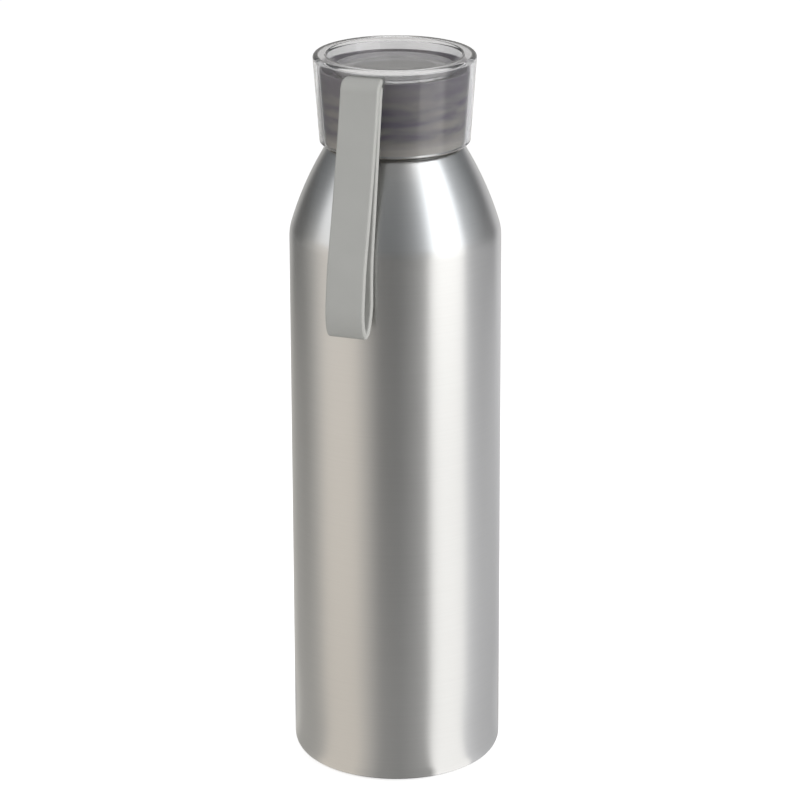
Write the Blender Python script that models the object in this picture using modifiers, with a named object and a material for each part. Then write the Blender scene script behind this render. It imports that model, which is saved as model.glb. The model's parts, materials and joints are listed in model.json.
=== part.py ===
"""Aluminium water bottle with a clear screw lid and a silicone carrying loop.

Lengths are in metres and +Z is up. The origin is the centre of the base, on the surface
that the bottle stands on, and the bottle's axis is Z. The carrying loop hangs at -Y.

The bottle is one thin aluminium shell with an open, threaded neck. The lid is a clear cover
over a smoky threaded insert, with a seal ring between the insert and the neck's lip. Both
ends of the carrying loop pass through a slot under the lid's rim to a curved anchor bar.
"""
import math

import bmesh
import bpy

MM = 0.001

# Aluminium shell
BODY_RADIUS = 32.6 * MM
BODY_WALL = 0.8 * MM
BASE_THICKNESS = 1.2 * MM
BASE_ROUNDING = 5.2 * MM
KNEE_HEIGHT = 172.2 * MM
KNEE_ROUNDING = 3.0 * MM
SHOULDER_RISE = 26.4 * MM
SHOULDER_BULGE = 1.0 * MM
SHOULDER_ROUNDING = 1.0 * MM
SHOULDER_INSET = 1.95 * MM
NECK_RADIUS = 18.55 * MM
NECK_WALL = 1.2 * MM
NECK_HEIGHT = 16.0 * MM
NECK_FILLET = 0.5 * MM

# Screw thread, rounded like a rolled one
THREAD_PITCH = 4.0 * MM
THREAD_TURNS = 2.25
THREAD_RIDGE = 1.0 * MM
THREAD_SINK = 0.1 * MM
THREAD_START = 4.6 * MM
THREAD_CLEARANCE = 0.4 * MM

# Lid: insert, seal and clear cover
GAP = 0.3 * MM
LID_SEAT_GAP = 1.2 * MM
SEAL_THICKNESS = 1.5 * MM
SEAL_OVERHANG = 1.1 * MM
INSERT_WALL = 1.2 * MM
INSERT_SKIRT_WALL = 0.9 * MM
INSERT_TOP = 1.9 * MM
INSERT_RECESS = 0.5 * MM
PLUG_CLEARANCE = 0.6 * MM
PLUG_WALL = 1.3 * MM
PLUG_DEPTH = 1.6 * MM
BOSS_HEIGHT = 3.4 * MM
BOSS_RADIUS = 16.0 * MM
BOSS_WALL = 3.0 * MM
COVER_WALL = 1.5 * MM
COVER_FLARE = 1.95 * MM
COVER_CHAMFER = 0.4 * MM
RIM_WIDTH = 4.1 * MM
RIM_DEPTH = 1.3 * MM
RIM_ROUNDING = 0.8 * MM
RECESS_DEPTH = 3.8 * MM
RECESS_SLOPE = 2.4 * MM
RECESS_THICKNESS = 1.0 * MM

# Carrying loop
STRAP_WIDTH = 12.2 * MM
STRAP_THICKNESS = 2.0 * MM
STRAP_NARROWING = 1.2 * MM
STRAP_PINCH = 0.3 * MM
STRAP_STAND_OFF = 0.57 * MM
STRAP_REST_GAP = 0.75 * MM
STRAP_LOOP_GAP = 5.1 * MM
STRAP_DROP = 64.5 * MM
STRAP_TIP = 9.0 * MM
STRAP_TIP_SKEW = 0.9 * MM
STRAP_OPENING = 1.6
STRAP_SETTLE = 4.0 * MM
SLOT_CLEARANCE = 0.3 * MM
SLOT_SILL = 1.9 * MM
ANCHOR_THICKNESS = 1.4 * MM
ANCHOR_HEIGHT = 2.6 * MM
ANCHOR_OVERHANG = 1.8 * MM

# Resolution
BODY_STEPS = 64
SMALL_STEPS = 48
ROUND_POINTS = 4
BULGE_POINTS = 5
THREAD_STEPS = 32
STRAND_POINTS = 12
TIP_POINTS = 13
ANCHOR_STEPS = 8

# Heights worked out from the sizes above
LEDGE_Z = KNEE_HEIGHT + SHOULDER_RISE
LIP_Z = LEDGE_Z + NECK_HEIGHT
LID_Z = LEDGE_Z + LID_SEAT_GAP
SEAL_Z = LIP_Z + GAP
DISC_Z = SEAL_Z + SEAL_THICKNESS + GAP
DISC_TOP_Z = DISC_Z + INSERT_TOP
BOSS_TOP_Z = DISC_TOP_Z + BOSS_HEIGHT
RECESS_UNDER_Z = BOSS_TOP_Z + GAP
RECESS_Z = RECESS_UNDER_Z + RECESS_THICKNESS
RIM_Z = RECESS_Z + RECESS_DEPTH
CEILING_Z = RIM_Z - RIM_DEPTH
SKIRT_TOP_Z = RECESS_Z - GAP

# Radii worked out from the sizes above
BORE_RADIUS = NECK_RADIUS - NECK_WALL
RIDGE_RADIUS = NECK_RADIUS + THREAD_SINK
RIDGE_CREST = RIDGE_RADIUS + THREAD_RIDGE
INSERT_BORE = RIDGE_CREST + THREAD_CLEARANCE
INSERT_RADIUS = INSERT_BORE + INSERT_WALL
COVER_BORE = INSERT_RADIUS + GAP
COVER_RADIUS = COVER_BORE + COVER_WALL
COVER_TOP_RADIUS = COVER_RADIUS + COVER_FLARE
SHOULDER_RADIUS = COVER_RADIUS - SHOULDER_INSET
RIM_INNER = COVER_TOP_RADIUS - RIM_WIDTH
RECESS_RADIUS = RIM_INNER - RECESS_SLOPE
PLUG_RADIUS = BORE_RADIUS - PLUG_CLEARANCE


def flare(z):
    """How far the cover's wall has widened at height z above its lower edge."""
    return COVER_FLARE * (z - LID_Z) / (RIM_Z - LID_Z)


def recess_back(z):
    """The radius of the recess wall's hidden side at height z."""
    slope = math.atan2(RECESS_SLOPE, RECESS_DEPTH)
    return RECESS_RADIUS + RECESS_THICKNESS / math.cos(slope) + math.tan(slope) * (z - RECESS_Z)


# Slot and hinge of the carrying loop, worked out from the lid
SLOT_LOW_Z = DISC_TOP_Z + SLOT_SILL
TONGUE_LOW_Z = SLOT_LOW_Z + SLOT_CLEARANCE
KNUCKLE_RADIUS = STRAP_THICKNESS + STRAP_PINCH / 2
TONGUE_HIGH_Z = TONGUE_LOW_Z + 2 * KNUCKLE_RADIUS
SLOT_HIGH_Z = TONGUE_HIGH_Z + SLOT_CLEARANCE
TONGUE_HALF = STRAP_WIDTH / 2 - STRAP_NARROWING
SLOT_HALF = TONGUE_HALF + SLOT_CLEARANCE
HINGE_Z = (TONGUE_LOW_Z + TONGUE_HIGH_Z) / 2
HINGE_OUT = COVER_RADIUS + flare(HINGE_Z) + STRAP_STAND_OFF + KNUCKLE_RADIUS
TONGUE_END = HINGE_OUT - KNUCKLE_RADIUS - GAP
SKIRT_BORE = INSERT_RADIUS + flare(DISC_TOP_Z) - INSERT_SKIRT_WALL
ANCHOR_RADIUS = SKIRT_BORE - GAP


def make_collection(name):
    """Adds a collection to the scene."""
    collection = bpy.data.collections.new(name)
    bpy.context.scene.collection.children.link(collection)
    return collection


def make_material(name, colour, metallic, roughness, transmission=0.0):
    """A Principled BSDF in one colour."""
    material = bpy.data.materials.new(name)
    material.use_nodes = True
    shader = material.node_tree.nodes["Principled BSDF"]
    shader.inputs["Base Color"].default_value = (*colour, 1.0)
    shader.inputs["Metallic"].default_value = metallic
    shader.inputs["Roughness"].default_value = roughness
    shader.inputs["Transmission Weight"].default_value = transmission
    return material


def rounded(corners):
    """Points along an outline whose corners (radius, height, rounding) are turned into arcs."""
    points = []
    for i, (x, z, rounding) in enumerate(corners):
        if not rounding:
            points.append((x, z))
            continue
        before, after = corners[i - 1], corners[i + 1]
        to_before = math.atan2(before[1] - z, before[0] - x)
        to_after = math.atan2(after[1] - z, after[0] - x)
        half = (to_after - to_before) / 2
        middle = to_before + half
        reach = rounding / abs(math.sin(half))
        if math.cos(half) < 0:
            middle += math.pi
        centre_x = x + reach * math.cos(middle)
        centre_z = z + reach * math.sin(middle)
        tangent = reach * abs(math.cos(half))
        start_x = x + tangent * math.cos(to_before)
        start_z = z + tangent * math.sin(to_before)
        end_x = x + tangent * math.cos(to_after)
        end_z = z + tangent * math.sin(to_after)
        first = math.atan2(start_z - centre_z, start_x - centre_x)
        last = math.atan2(end_z - centre_z, end_x - centre_x)
        sweep = (last - first + math.pi) % (2 * math.pi) - math.pi
        for step in range(ROUND_POINTS + 1):
            angle = first + sweep * step / ROUND_POINTS
            points.append((centre_x + rounding * math.cos(angle), centre_z + rounding * math.sin(angle)))
    return points


def bowed(start, end, bulge, count):
    """Points between start and end on a shallow curve that stands out by bulge at its middle."""
    across_x = end[1] - start[1]
    across_z = start[0] - end[0]
    length = math.hypot(across_x, across_z)
    points = []
    for step in range(1, count + 1):
        share = step / (count + 1)
        out = bulge * 4 * share * (1 - share) / length
        points.append((
            start[0] + (end[0] - start[0]) * share + across_x * out,
            start[1] + (end[1] - start[1]) * share + across_z * out,
            0.0,
        ))
    return points


def place(mesh, name, collection, material):
    """Puts a mesh in the scene as a named object with its material."""
    thing = bpy.data.objects.new(name, mesh)
    if material:
        mesh.materials.append(material)
    collection.objects.link(thing)
    return thing


def turned(name, outline, steps, collection, material):
    """A solid turned about Z from an outline that runs down its outer side."""
    mesh = bpy.data.meshes.new(name)
    edges = [(i, i + 1) for i in range(len(outline) - 1)]
    if outline[0][0] > 0:
        edges.append((len(outline) - 1, 0))
    mesh.from_pydata([(x, 0.0, z) for x, z in outline], edges, [])
    thing = place(mesh, name, collection, material)
    screw = thing.modifiers.new("Turn", "SCREW")
    screw.axis = "Z"
    screw.steps = steps
    screw.render_steps = steps
    screw.use_merge_vertices = True
    screw.merge_threshold = 0.00001
    screw.use_smooth_shade = True
    return thing


def as_mesh(thing, name):
    """Turns a curve into a welded mesh object in its place."""
    bpy.context.view_layer.update()
    evaluated = thing.evaluated_get(bpy.context.evaluated_depsgraph_get())
    mesh = bpy.data.meshes.new_from_object(evaluated)
    work = bmesh.new()
    work.from_mesh(mesh)
    bmesh.ops.remove_doubles(work, verts=work.verts, dist=0.000001)
    bmesh.ops.recalc_face_normals(work, faces=work.faces)
    work.to_mesh(mesh)
    work.free()
    matrix = thing.matrix_world.copy()
    collection = thing.users_collection[0]
    bpy.data.objects.remove(thing)
    solid = place(mesh, name, collection, None)
    solid.matrix_world = matrix
    return solid


def hide(thing):
    """Marks a cutter or guide so that it is only ever seen as wires."""
    thing.hide_render = True
    thing.display_type = "WIRE"
    return thing


def thread_ridge(name, radius, start_z, cutters):
    """A round ridge that climbs one pitch a turn and thins out at both ends."""
    count = round(THREAD_TURNS * THREAD_STEPS)
    data = bpy.data.curves.new(name, "CURVE")
    data.dimensions = "3D"
    data.bevel_depth = THREAD_RIDGE
    data.bevel_resolution = 1
    data.use_fill_caps = True
    spline = data.splines.new("POLY")
    spline.points.add(count)
    run_out = THREAD_STEPS / 8
    for i, point in enumerate(spline.points):
        angle = 2 * math.pi * i / THREAD_STEPS
        height = start_z + THREAD_PITCH * i / THREAD_STEPS
        point.co = (radius * math.cos(angle), radius * math.sin(angle), height, 1.0)
        point.radius = min(1.0, 0.4 + 0.6 * min(i, count - i) / run_out)
    thing = bpy.data.objects.new(name, data)
    cutters.objects.link(thing)
    return hide(as_mesh(thing, name))


def combine(thing, other, operation):
    """Adds a Boolean of one object with another."""
    boolean = thing.modifiers.new(other.name, "BOOLEAN")
    boolean.operation = operation
    boolean.solver = "EXACT"
    boolean.object = other


def box(name, low, high, collection, material):
    """A box between two corners."""
    bpy.ops.mesh.primitive_cube_add(size=1.0)
    thing = bpy.context.active_object
    thing.name = name
    thing.data.name = name
    for vertex in thing.data.vertices:
        for axis in range(3):
            middle = (low[axis] + high[axis]) / 2
            vertex.co[axis] = middle + vertex.co[axis] * (high[axis] - low[axis])
    for owner in list(thing.users_collection):
        owner.objects.unlink(thing)
    collection.objects.link(thing)
    if material:
        thing.data.materials.append(material)
    return thing


def bottle_body(parts, cutters):
    """The shell: flat base, straight wall, bowed shoulder, ledge and threaded open neck."""
    slant = math.atan2(BODY_RADIUS - SHOULDER_RADIUS, SHOULDER_RISE)
    drop = BODY_WALL * math.tan(slant / 2)
    wall_out = BODY_RADIUS - BODY_WALL
    across = BODY_WALL / math.cos(slant)
    knee_in = (wall_out, KNEE_HEIGHT - drop)
    ledge_under = LEDGE_Z - NECK_WALL
    top_in = (SHOULDER_RADIUS - across + NECK_WALL * math.tan(slant), ledge_under)
    knee_out = (BODY_RADIUS, KNEE_HEIGHT)
    top_out = (SHOULDER_RADIUS, LEDGE_Z)
    inside = [
        (0.0, BASE_THICKNESS, 0.0),
        (wall_out, BASE_THICKNESS, BASE_ROUNDING - BODY_WALL),
        (*knee_in, 0.0),
        *bowed(knee_in, top_in, SHOULDER_BULGE, BULGE_POINTS),
        (*top_in, 0.0),
        (BORE_RADIUS, ledge_under, 0.0),
        (BORE_RADIUS, LIP_Z, 0.0),
    ]
    outside = [
        (NECK_RADIUS, LIP_Z, NECK_FILLET),
        (NECK_RADIUS, LEDGE_Z, NECK_FILLET),
        (*top_out, SHOULDER_ROUNDING),
        *reversed(bowed(knee_out, top_out, SHOULDER_BULGE, BULGE_POINTS)),
        (*knee_out, KNEE_ROUNDING),
        (BODY_RADIUS, 0.0, BASE_ROUNDING),
        (0.0, 0.0, 0.0),
    ]
    aluminium = make_material("brushed_aluminium", (0.60, 0.60, 0.59), 1.0, 0.32)
    body = turned("bottle_body", rounded(inside + outside), BODY_STEPS, parts, aluminium)
    ridge = thread_ridge("neck_ridge", RIDGE_RADIUS, LEDGE_Z + THREAD_START, cutters)
    combine(body, ridge, "UNION")


def lid_insert(parts, cutters, carrier):
    """The smoky screw cap: threaded skirt, disc over the neck, plug, boss and tall outer skirt."""
    bottom = LID_Z + INSERT_RECESS
    outline = rounded([
        (0.0, DISC_TOP_Z, 0.0),
        (BOSS_RADIUS - BOSS_WALL, DISC_TOP_Z, 0.0),
        (BOSS_RADIUS - BOSS_WALL, BOSS_TOP_Z, 0.0),
        (BOSS_RADIUS, BOSS_TOP_Z, 0.0),
        (BOSS_RADIUS, DISC_TOP_Z, 0.0),
        (SKIRT_BORE, DISC_TOP_Z, 0.0),
        (INSERT_RADIUS + flare(SKIRT_TOP_Z) - INSERT_SKIRT_WALL, SKIRT_TOP_Z, 0.0),
        (INSERT_RADIUS + flare(SKIRT_TOP_Z), SKIRT_TOP_Z, 0.0),
        (INSERT_RADIUS + flare(bottom), bottom, 0.0),
        (INSERT_BORE, bottom, 0.0),
        (INSERT_BORE, DISC_Z, 0.0),
        (PLUG_RADIUS, DISC_Z, 0.0),
        (PLUG_RADIUS, LIP_Z - PLUG_DEPTH, NECK_FILLET),
        (PLUG_RADIUS - PLUG_WALL, LIP_Z - PLUG_DEPTH, NECK_FILLET),
        (PLUG_RADIUS - PLUG_WALL, DISC_Z, 0.0),
        (0.0, DISC_Z, 0.0),
    ])
    smoky = make_material("smoky_plastic", (0.10, 0.09, 0.11), 0.0, 0.2)
    insert = turned("lid_insert", outline, BODY_STEPS, parts, smoky)
    insert.parent = carrier
    ridge = thread_ridge(
        "insert_ridge", INSERT_BORE - THREAD_SINK, LEDGE_Z + THREAD_START - THREAD_PITCH / 2, cutters)
    combine(insert, ridge, "UNION")
    return insert


def lid_cover(parts, carrier):
    """The clear cover: flared wall with a chamfered foot, solid rim and recessed top."""
    outline = rounded([
        (0.0, RECESS_Z, 0.0),
        (RECESS_RADIUS, RECESS_Z, 0.0),
        (RIM_INNER, RIM_Z, RIM_ROUNDING),
        (COVER_TOP_RADIUS, RIM_Z, RIM_ROUNDING),
        (COVER_RADIUS + flare(LID_Z + COVER_CHAMFER), LID_Z + COVER_CHAMFER, 0.0),
        (COVER_RADIUS - COVER_CHAMFER, LID_Z, 0.0),
        (COVER_BORE, LID_Z, 0.0),
        (COVER_BORE + flare(CEILING_Z), CEILING_Z, 0.0),
        (recess_back(CEILING_Z), CEILING_Z, 0.0),
        (recess_back(RECESS_UNDER_Z), RECESS_UNDER_Z, 0.0),
        (0.0, RECESS_UNDER_Z, 0.0),
    ])
    clear = make_material("clear_plastic", (0.95, 0.95, 0.95), 0.0, 0.03, 1.0)
    cover = turned("lid_cover", outline, BODY_STEPS, parts, clear)
    cover.parent = carrier
    return cover


def cut_slot(cutters, piece, bore, top):
    """Cuts the slot for the carrying loop's ends through a wall of this bore, up to height top."""
    inner = math.sqrt(bore ** 2 - SLOT_HALF ** 2) - GAP
    outer = HINGE_OUT + KNUCKLE_RADIUS
    low = (-SLOT_HALF, -outer, SLOT_LOW_Z)
    high = (SLOT_HALF, -inner, top)
    combine(piece, hide(box(piece.name + "_slot", low, high, cutters, None)), "DIFFERENCE")


def seal_ring(parts, carrier):
    """The flat silicone ring between the neck's lip and the insert's disc."""
    inner = PLUG_RADIUS + GAP
    outer = NECK_RADIUS + SEAL_OVERHANG
    outline = [
        (outer, SEAL_Z + SEAL_THICKNESS),
        (outer, SEAL_Z),
        (inner, SEAL_Z),
        (inner, SEAL_Z + SEAL_THICKNESS),
    ]
    silicone = make_material("seal_silicone", (0.75, 0.75, 0.72), 0.0, 0.55)
    ring = turned("seal_ring", outline, SMALL_STEPS, parts, silicone)
    ring.parent = carrier


def strap_anchor(parts, cutters, silicone, carrier):
    """The loop's joined ends: a tongue through the slot and a curved bar behind it.

    Above the bar the tongue is cut back, to stay clear of the recess wall.
    """
    inner = ANCHOR_RADIUS - ANCHOR_THICKNESS
    reach = (SLOT_HALF + ANCHOR_OVERHANG) / ANCHOR_RADIUS
    angles = [reach * (2 * i / ANCHOR_STEPS - 1) for i in range(ANCHOR_STEPS + 1)]
    outline = [(ANCHOR_RADIUS * math.sin(a), -ANCHOR_RADIUS * math.cos(a)) for a in angles]
    outline += [(inner * math.sin(a), -inner * math.cos(a)) for a in reversed(angles)]
    data = bpy.data.curves.new("strap_anchor", "CURVE")
    data.dimensions = "2D"
    data.fill_mode = "BOTH"
    data.extrude = ANCHOR_HEIGHT / 2
    spline = data.splines.new("POLY")
    spline.points.add(len(outline) - 1)
    spline.use_cyclic_u = True
    for point, (x, y) in zip(spline.points, outline):
        point.co = (x, y, 0.0, 1.0)
    guide = bpy.data.objects.new("anchor_outline", data)
    guide.location = (0.0, 0.0, SLOT_LOW_Z + ANCHOR_HEIGHT / 2)
    parts.objects.link(guide)
    anchor = as_mesh(guide, "strap_anchor")
    anchor.data.materials.append(silicone)
    anchor.parent = carrier
    root = ANCHOR_THICKNESS / 4 - ANCHOR_RADIUS * math.cos(TONGUE_HALF / ANCHOR_RADIUS)
    low = (-TONGUE_HALF, -TONGUE_END, TONGUE_LOW_Z)
    high = (TONGUE_HALF, root, TONGUE_HIGH_Z)
    tongue = box("anchor_tongue", low, high, cutters, None)
    combine(anchor, hide(tongue), "UNION")
    bar_top = SLOT_LOW_Z + ANCHOR_HEIGHT
    bpy.ops.mesh.primitive_cylinder_add(
        vertices=BODY_STEPS, radius=recess_back(TONGUE_HIGH_Z) + GAP, depth=2 * ANCHOR_HEIGHT,
        location=(0.0, 0.0, bar_top + ANCHOR_HEIGHT))
    relief = bpy.context.active_object
    relief.name = "anchor_relief"
    for owner in list(relief.users_collection):
        owner.objects.unlink(relief)
    cutters.objects.link(relief)
    combine(anchor, hide(relief), "DIFFERENCE")


def strap_path():
    """The loop's middle line from the hinge down its back strand, round the tip and up its front strand.

    Points are (distance from the bottle's axis, height). The back strand runs straight from the
    hinge to where it clears the knee, and its lean dies away below that within STRAP_SETTLE. The
    front strand moves away from it by a share of the drop raised to STRAP_OPENING. The tip is
    half an ellipse, leaning outwards.
    """
    offset = (STRAP_THICKNESS + STRAP_PINCH) / 2
    knee_out = BODY_RADIUS + STRAP_REST_GAP + STRAP_THICKNESS / 2
    back_top = HINGE_OUT - offset
    low_z = HINGE_Z - STRAP_DROP
    spread = STRAP_LOOP_GAP + STRAP_THICKNESS
    lean = (knee_out - back_top) / (HINGE_Z - KNEE_HEIGHT)

    def back(z):
        if z > KNEE_HEIGHT:
            return back_top + lean * (HINGE_Z - z)
        return knee_out + lean * STRAP_SETTLE * (1 - math.exp((z - KNEE_HEIGHT) / STRAP_SETTLE))

    def parting(z):
        share = (HINGE_Z - z) / STRAP_DROP
        return 2 * offset + (spread - 2 * offset) * share ** STRAP_OPENING

    heights = [HINGE_Z - STRAP_DROP * i / STRAND_POINTS for i in range(STRAND_POINTS + 1)]
    down = [(back(z), z) for z in heights]
    up = [(back(z) + parting(z), z) for z in reversed(heights)]
    tip = []
    middle = (down[-1][0] + up[0][0]) / 2
    for i in range(1, TIP_POINTS):
        angle = math.pi * i / TIP_POINTS
        out = middle - spread / 2 * math.cos(angle) + STRAP_TIP_SKEW * math.sin(angle)
        tip.append((out, low_z - STRAP_TIP * math.sin(angle)))
    return down + tip + up


def strap_loop(parts, cutters, silicone, carrier):
    """The hanging silicone loop, with a round knuckle at the slot's mouth."""
    path = strap_path()
    half = STRAP_WIDTH / 2
    vertices = []
    for out, z in path:
        vertices += [(-half, -out, z), (half, -out, z)]
    faces = [(2 * i, 2 * i + 1, 2 * i + 3, 2 * i + 2) for i in range(len(path) - 1)]
    mesh = bpy.data.meshes.new("strap_loop")
    mesh.from_pydata(vertices, [], faces)
    loop = place(mesh, "strap_loop", parts, silicone)
    loop.parent = carrier
    loop.matrix_parent_inverse = carrier.matrix_world.inverted()
    solidify = loop.modifiers.new("Thickness", "SOLIDIFY")
    solidify.thickness = STRAP_THICKNESS
    solidify.offset = 0.0
    solidify.use_even_offset = True
    bpy.ops.mesh.primitive_cylinder_add(
        vertices=SMALL_STEPS // 2, radius=KNUCKLE_RADIUS, depth=STRAP_WIDTH,
        location=(0.0, -HINGE_OUT, HINGE_Z), rotation=(0.0, math.pi / 2, 0.0))
    knuckle = bpy.context.active_object
    knuckle.name = "loop_knuckle"
    for owner in list(knuckle.users_collection):
        owner.objects.unlink(knuckle)
    cutters.objects.link(knuckle)
    combine(loop, hide(knuckle), "UNION")


def empty(name, location, parent, collection):
    """An empty on a joint's axis, which carries what moves."""
    thing = bpy.data.objects.new(name, None)
    thing.location = location
    thing.parent = parent
    collection.objects.link(thing)
    return thing


def main():
    for thing in list(bpy.data.objects):
        bpy.data.objects.remove(thing)
    parts = make_collection("aluminium_water_bottle")
    cutters = make_collection("cutters")
    bottle_body(parts, cutters)
    lid_axis = empty("lid_axis", (0.0, 0.0, 0.0), None, parts)
    strap_hinge = empty("strap_hinge", (0.0, -HINGE_OUT, HINGE_Z), lid_axis, parts)
    bpy.context.view_layer.update()
    seal_ring(parts, lid_axis)
    insert = lid_insert(parts, cutters, lid_axis)
    cover = lid_cover(parts, lid_axis)
    cut_slot(cutters, insert, SKIRT_BORE, CEILING_Z)
    cut_slot(cutters, cover, COVER_BORE + flare(SLOT_LOW_Z), SLOT_HIGH_Z)
    silicone = make_material("strap_silicone", (0.40, 0.40, 0.38), 0.0, 0.5)
    strap_anchor(parts, cutters, silicone, lid_axis)
    strap_loop(parts, cutters, silicone, strap_hinge)
    bpy.context.view_layer.update()


main()
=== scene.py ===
"""Looks of a brushed aluminium water bottle with a clear screw lid and a silicone carrying loop.

Every visible piece is a smooth surface worked out from the same sizes as the frame's solids.
Lengths are in metres, +Z is up, the bottle's axis is Z and the carrying loop hangs at -Y.
"""
import json
import math

import bpy
import numpy as np
from mathutils import Matrix, Vector

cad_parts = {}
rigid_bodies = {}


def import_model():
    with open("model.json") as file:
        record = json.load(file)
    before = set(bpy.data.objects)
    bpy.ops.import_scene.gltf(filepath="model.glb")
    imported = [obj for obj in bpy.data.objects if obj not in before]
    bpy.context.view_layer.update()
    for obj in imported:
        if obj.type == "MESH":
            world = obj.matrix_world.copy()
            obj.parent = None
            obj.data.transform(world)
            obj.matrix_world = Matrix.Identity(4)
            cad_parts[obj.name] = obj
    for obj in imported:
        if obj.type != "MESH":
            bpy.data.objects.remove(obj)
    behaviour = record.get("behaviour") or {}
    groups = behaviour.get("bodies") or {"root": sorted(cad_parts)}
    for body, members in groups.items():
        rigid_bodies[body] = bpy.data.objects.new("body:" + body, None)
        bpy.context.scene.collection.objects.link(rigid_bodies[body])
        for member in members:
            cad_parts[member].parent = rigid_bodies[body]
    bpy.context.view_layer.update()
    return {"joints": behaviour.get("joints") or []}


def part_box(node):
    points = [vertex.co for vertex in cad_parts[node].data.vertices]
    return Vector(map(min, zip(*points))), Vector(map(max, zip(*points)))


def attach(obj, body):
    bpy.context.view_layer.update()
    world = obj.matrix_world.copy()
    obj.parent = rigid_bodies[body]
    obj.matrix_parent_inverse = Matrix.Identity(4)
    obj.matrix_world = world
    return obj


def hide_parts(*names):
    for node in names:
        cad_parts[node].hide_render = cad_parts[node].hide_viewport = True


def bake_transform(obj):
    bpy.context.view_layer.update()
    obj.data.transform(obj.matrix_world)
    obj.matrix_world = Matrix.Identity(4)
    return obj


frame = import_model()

MM = 0.001
TURN = 2 * math.pi

# Aluminium shell
BODY_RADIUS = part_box("bottle_body")[1].x
BODY_WALL = 0.8 * MM
BASE_THICKNESS = 1.2 * MM
BASE_ROUNDING = 5.2 * MM
KNEE_Z = 172.2 * MM
KNEE_ROUNDING = 14.0 * MM
LEDGE_Z = 198.6 * MM
SHOULDER_RADIUS = 21.1 * MM
SHOULDER_BULGE = 1.0 * MM
SHOULDER_POINTS = 12
SHOULDER_ROUNDING = 1.0 * MM
NECK_RADIUS = 18.55 * MM
NECK_WALL = 1.2 * MM
NECK_FILLET = 0.5 * MM
LIP_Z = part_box("bottle_body")[1].z
SHELL_COLUMNS = 256

# Screw thread
THREAD_PITCH = 4.0 * MM
THREAD_TURNS = 2.25
THREAD_RISE = 1.1 * MM
THREAD_HALF_WIDTH = 1.5 * MM
THREAD_RUN_OUT = 0.12
NECK_THREAD_Z = LEDGE_Z + 4.6 * MM
LID_THREAD_Z = NECK_THREAD_Z - THREAD_PITCH / 2
THREAD_SPACING = 0.25 * MM

# Lid
SEAL_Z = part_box("seal_ring")[0].z
SEAL_TOP_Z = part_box("seal_ring")[1].z
SEAL_INNER = 17.05 * MM
SEAL_OUTER = 19.65 * MM
SEAL_COLUMNS = 128
LID_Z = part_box("lid_cover")[0].z
RIM_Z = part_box("lid_cover")[1].z
DISC_Z = 216.7 * MM
DISC_TOP_Z = 218.6 * MM
BOSS_TOP_Z = 222.0 * MM
RECESS_UNDER_Z = 222.3 * MM
RECESS_Z = 223.3 * MM
CEILING_Z = 225.8 * MM
INSERT_FOOT_Z = LID_Z + 0.5 * MM
INSERT_TOP_Z = 223.0 * MM
INSERT_BORE = 20.05 * MM
INSERT_RADIUS = 21.25 * MM
SKIRT_WALL = 0.9 * MM
PLUG_RADIUS = 16.75 * MM
PLUG_WALL = 1.3 * MM
PLUG_FOOT_Z = LIP_Z - 1.6 * MM
BOSS_RADIUS = 16.0 * MM
BOSS_WALL = 3.0 * MM
COVER_BORE = 21.55 * MM
COVER_RADIUS = 23.05 * MM
COVER_FLARE = 1.95 * MM
COVER_CHAMFER = 0.4 * MM
RIM_WIDTH = 4.1 * MM
RIM_ROUNDING = 0.5 * MM
RIM_OUTER_ROUNDING = 1.1 * MM
RECESS_SLOPE = 2.4 * MM
RECESS_THICKNESS = 1.0 * MM
SOFT_EDGE = 0.25 * MM
LID_COLUMNS = 280

# Slot in the lid's wall, open at the insert's top
SLOT_LOW_Z = 220.5 * MM
SLOT_HIGH_Z = 225.4 * MM
SLOT_HALF = 5.2 * MM
SLOT_COLUMNS = 24
SLOT_SPACING = 0.4 * MM
SLOT_RADIUS_LEAST = 19.0 * MM

# Heights between which the smoky plastic's painted glow fades out above its foot, and where its colour
# changes near its disc
FOOT_GLOW_FULL_Z = INSERT_FOOT_Z + 1.8 * MM
FOOT_GLOW_END_Z = INSERT_FOOT_Z + 4.2 * MM
CROWN_START_Z = DISC_Z - 2.0 * MM

# Turned surfaces
OUTLINE_SPACING = 3.0 * MM
ARC_POINTS = 8
SHARP_ANGLE = math.radians(35)

# Carrying loop
STRAP_HALF = 6.1 * MM
STRAP_THICKNESS = 2.0 * MM
STRAP_EDGE = 0.6 * MM
STRAP_PINCH = 0.3 * MM
STRAP_REST_GAP = 0.75 * MM
STRAP_SPREAD = 7.1 * MM
STRAP_DROP = 64.5 * MM
STRAP_TIP = 9.0 * MM
STRAP_TIP_SKEW = 0.9 * MM
STRAP_OPENING = 1.6
STRAP_SETTLE = 4.0 * MM
TONGUE_HALF = 4.9 * MM
BEAD_HALF = 7.0 * MM
BEAD_INNER = 20.0 * MM
BEAD_OUTER = 21.4 * MM
TONGUE_ROOT = 21.2 * MM
FRONT_BEND = 3.1 * MM
BACK_BEND = 1.15 * MM
FRONT_BEND_POINTS = 16
BACK_BEND_POINTS = 10
STRAND_POINTS = 70
TIP_POINTS = 34
TONGUE_SPACING = 0.4 * MM
EDGE_POINTS = 6
FACE_POINTS = 13
SWING = {joint["name"]: joint for joint in frame["joints"]}["strap_swing"]
HINGE_Z = SWING["pos_m"][2]
HINGE_OUT = -SWING["pos_m"][1]

# Where the loop changes from tongue to band and from tongue to bead
MOUTH_LOW_Z = HINGE_Z - 2.4 * MM
MOUTH_INSET = 0.2 * MM
TONGUE_BLEND = 3.0 * MM
BEAD_BLEND = 0.4 * MM

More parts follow.
